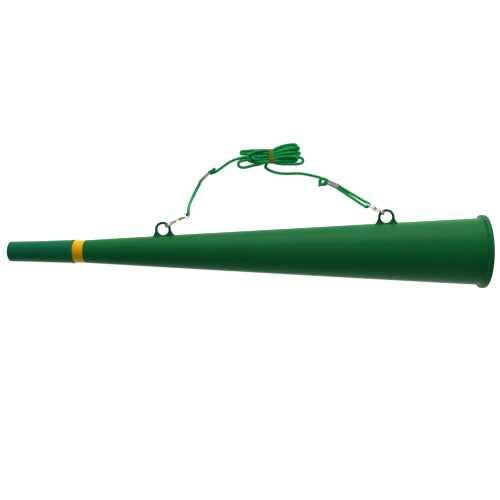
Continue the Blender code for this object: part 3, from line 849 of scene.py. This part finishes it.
def settle(path, rounds=160):
    """Lets the laid cord settle: it keeps its length, stays off the floor and pushes its own turns apart."""
    free = np.ones(len(path))
    free[(path[:, 0] < -0.008) | (path[:, 0] > 0.09) | ((path[:, 1] < 0.112) & (path[:, 0] > 0.03))] = 0
    lengths = np.linalg.norm(np.diff(path, axis=0), axis=1)
    index = np.arange(len(path))
    apart = np.abs(index[:, None] - index[None, :]) > 4
    in_band = (np.abs(path[:, 0] - WAIST_AT) < 0.003) & (path[:, 1] > 0.115)
    home = path.copy()
    spread = CORD * 0.9
    for turn in range(rounds):
        smooth = path.copy()
        smooth[1:-1] = (path[:-2] + path[2:]) / 2
        path = path + (smooth - path) * 0.22 * free[:, None]
        path[:, 2] -= 0.00004 * free * (turn < rounds - 30)
        path[in_band] += (home[in_band] - path[in_band]) * 0.3
        gaps = path[:, None, :] - path[None, :, :]
        reach = np.linalg.norm(gaps, axis=2)
        close = apart & (reach < spread)
        push = np.where(close, (spread - reach) / np.maximum(reach, 1e-6) * 0.32, 0)
        path = path + (gaps * push[:, :, None]).sum(axis=1) * free[:, None]
        for _ in range(3):
            steps = np.diff(path, axis=0)
            now = np.linalg.norm(steps, axis=1)
            fix = steps * ((now - lengths) / np.maximum(now, 1e-9) / 2)[:, None]
            path[:-1] += fix * free[:-1, None]
            path[1:] -= fix * free[1:, None]
        path[:, 2] = np.where(free > 0, np.maximum(path[:, 2], CORD / 2), path[:, 2])
    return path


def braided_tube(name, path):
    """A round cord whose surface is the braid: four plaits one way, over and under four the other way."""
    around = AROUND
    steps = np.gradient(path, axis=0)
    tangents = steps / np.linalg.norm(steps, axis=1)[:, None]
    side = np.cross(tangents[0], (0, 0, 1.0))
    side /= np.linalg.norm(side)
    along = np.concatenate([[0], np.cumsum(np.linalg.norm(np.diff(path, axis=0), axis=1))])
    angles = np.arange(around) / around
    points, heights = [], []
    for place, tangent, run in zip(path, tangents, along):
        side = side - tangent * side.dot(tangent)
        side /= np.linalg.norm(side)
        other = np.cross(tangent, side)
        one = PLAITS * angles + PLAITS * run / PLAIT_LAY
        two = PLAITS * angles - PLAITS * run / PLAIT_LAY
        over = (np.floor(one) + np.floor(two)) % 2 == 0
        across = np.where(over, np.sin(np.pi * (one % 1)), np.sin(np.pi * (two % 1)))
        length = np.where(over, np.sin(np.pi * (two % 1)), np.sin(np.pi * (one % 1)))
        height = across**0.8 * np.abs(length) ** 0.35
        ends_off = min(run, along[-1] - run)
        fit = 1 + 0.12 * math.exp(-((ends_off / 0.0016) ** 2))
        for middle, _ in (REAR_CRIMP, FRONT_CRIMP):
            inside = (np.linalg.norm(place - np.array(middle)) - 0.0082) / 0.0007
            fit *= 1 - 0.16 / (1 + math.exp(inside))
        radius = CORD / 2 * fit * (0.90 + 0.13 * height)
        turned = 2 * np.pi * angles
        ring = np.cos(turned)[:, None] * side + np.sin(turned)[:, None] * other
        points.append(place + ring * radius[:, None])
        heights.append(height)
    ends = [path[0] - tangents[0] * 0.0006, path[-1] + tangents[-1] * 0.0006]
    vertices = np.vstack([*points, ends])
    count = len(path)
    faces = [
        (
            i * around + j,
            i * around + (j + 1) % around,
            (i + 1) * around + (j + 1) % around,
            (i + 1) * around + j,
        )
        for i in range(count - 1)
        for j in range(around)
    ]
    first, last = count * around, count * around + 1
    faces += [(first, (j + 1) % around, j) for j in range(around)]
    tail = (count - 1) * around
    faces += [(last, tail + j, tail + (j + 1) % around) for j in range(around)]
    mesh = bpy.data.meshes.new(name)
    mesh.from_pydata(vertices.tolist(), [], faces)
    # The braid heights, which the cord's material also turns into painted shade in the crossings and a
    # painted highlight on the plait backs.
    braid = mesh.attributes.new("braid", "FLOAT", "POINT")
    braid.data.foreach_set("value", np.concatenate([*heights, [0.3, 0.3]]).astype(np.float32))
    uv = mesh.uv_layers.new(name="along")
    corners = np.empty(len(mesh.loops), np.int32)
    mesh.loops.foreach_get("vertex_index", corners)
    rows = np.minimum(corners // around, count - 1)
    uv.data.foreach_set("uv", np.stack([along[rows] * 40, (corners % around) / around], axis=1).ravel())
    mesh.update()
    made = bpy.data.objects.new(name, mesh)
    bpy.context.scene.collection.objects.link(made)
    return made


CORD_NODES = (
    "hank_cord",
    "rear_run_cord",
    "front_run_cord",
    "rear_loop_cord",
    "front_loop_cord",
    "rear_tail",
    "front_knot",
)


def lanyard_cord():
    """The settled cord, with the path and the length that it has."""
    path = settle(evenly(cord_route(), STEP))
    fine = evenly(path, FINE_STEP)
    made = braided_tube("braided_cord", fine)
    dress(made, "braided_cord", "cord", "lanyard", CORD_NODES, 80)
    length = float(np.linalg.norm(np.diff(fine, axis=0), axis=1).sum())
    return made, path, length


def crimp(end, middle, heading, upright):
    """A flat metal sleeve, pressed in on both faces."""
    deselect()
    bpy.ops.mesh.primitive_cylinder_add(
        vertices=48, radius=CRIMP_THICK / 2 - 0.00025, depth=CRIMP_LENGTH, end_fill_type="NOTHING"
    )
    made = bpy.context.active_object
    flat = (CRIMP_WIDE - CRIMP_THICK) / 2
    for point in made.data.vertices:
        point.co.y += math.copysign(flat, point.co.y) if abs(point.co.y) > 0.00001 else 0
    bpy.ops.object.mode_set(mode="EDIT")
    shape = bmesh.from_edit_mesh(made.data)
    for face in shape.faces:
        face.select_set(abs(face.normal.x) > 0.97)
    bmesh.update_edit_mesh(made.data)
    bpy.ops.mesh.subdivide(number_cuts=3)
    bpy.ops.mesh.inset(thickness=0.0011, use_individual=False)
    bpy.ops.transform.resize(value=(0.86, 1, 1), center_override=(0, 0, 0))
    bpy.ops.object.mode_set(mode="OBJECT")
    wall = made.modifiers.new("wall", "SOLIDIFY")
    wall.thickness = CRIMP_WALL
    wall.offset = 0
    edges = made.modifiers.new("edges", "BEVEL")
    edges.width = 0.00014
    edges.segments = 2
    edges.limit_method = "ANGLE"
    edges.angle_limit = math.radians(50)
    apply_all(made)
    lie = Matrix.Rotation(math.pi / 2, 4, "Y")
    stand = Matrix.Rotation(math.pi / 2, 4, "X") if upright else Matrix.Identity(4)
    placed(made, Matrix.Translation(middle) @ Matrix.Rotation(heading, 4, "Z") @ stand @ lie)
    return dress(made, f"{end}_crimp_sleeve", "crimp", "lanyard", (f"{end}_crimp",), 40)


def rubber_band():
    """Two turns of a flat rubber band round the hank's waist."""
    made = []
    low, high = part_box("hank_band")
    centre = (low + high) / 2
    for turn, (slip, slant, width) in enumerate(((-0.00125, -6.0, 0.0026), (0.00130, -8.5, 0.0025))):
        deselect()
        bpy.ops.mesh.primitive_circle_add(vertices=72, radius=1, location=(0, 0, 0))
        ring = bpy.context.active_object
        for point in ring.data.vertices:
            bearing = math.atan2(point.co.y, point.co.x)
            across, up = abs(math.cos(bearing)), abs(math.sin(bearing))
            grow = (across**BAND_SQUARENESS + up**BAND_SQUARENESS) ** (-1 / BAND_SQUARENESS)
            point.co.x *= grow * BAND_HALF_WIDE
            point.co.y *= grow * BAND_HALF_HIGH
        bpy.ops.object.mode_set(mode="EDIT")
        bpy.ops.mesh.select_all(action="SELECT")
        bpy.ops.transform.translate(value=(0, 0, -width / 2))
        bpy.ops.mesh.extrude_edges_move(TRANSFORM_OT_translate={"value": (0, 0, width)})
        bpy.ops.object.mode_set(mode="OBJECT")
        wall = ring.modifiers.new("wall", "SOLIDIFY")
        wall.thickness = BAND_THICK
        wall.offset = 1
        edges = ring.modifiers.new("edges", "BEVEL")
        edges.width = 0.0003
        edges.segments = 3
        edges.limit_method = "ANGLE"
        edges.angle_limit = math.radians(60)
        apply_all(ring)
        to_section = Matrix(((0, 0, 1, 0), (1, 0, 0, 0), (0, 1, 0, 0), (0, 0, 0, 1)))
        lean = Matrix.Rotation(math.radians(-slant), 4, "Z")
        where = Matrix.Translation((centre.x + slip, centre.y, BAND_MIDDLE))
        placed(ring, where @ lean @ to_section)
        replaced = ("hank_band",) if turn == 0 else ()
        made.append(dress(ring, f"hank_band_turn_{turn + 1}", "band", "lanyard", replaced, 50))
    return made


# ---------------------------------------------------------------- making


stage()
AXIS = horn_axis()
cord, cord_path, cord_length = lanyard_cord()
crimps = [
    crimp("rear", REAR_CRIMP[0], REAR_CRIMP[1], True),
    crimp("front", FRONT_CRIMP[0], FRONT_CRIMP[1], False),
]
bands = rubber_band()
horn_shell()
for which in LUG_AT:
    lug(which)
mouthpiece()
reed_holder()
for which in ("rear", "front"):
    for part, body in (
        ("hook", f"{which}_hook"),
        ("gate_pin", f"{which}_hook"),
        ("gate", f"{which}_gate"),
        ("swivel_rivet", "lanyard"),
        ("swivel_eye", "lanyard"),
    ):
        piece = polished(f"{which}_{part}", f"{which}_{part}_nickel", "nickel", body)
for node, look, slot in (
    ("reed_trough", "reed", "reed_plastic"),
    ("reed_wedge", "reed", "reed_plastic"),
    ("reed_tongue", "brass", "reed_brass"),
):
    body = "reed_tongue" if node == "reed_tongue" else "reed_unit"
    polished(node, f"{node}_finished", look, body, 0.00008)
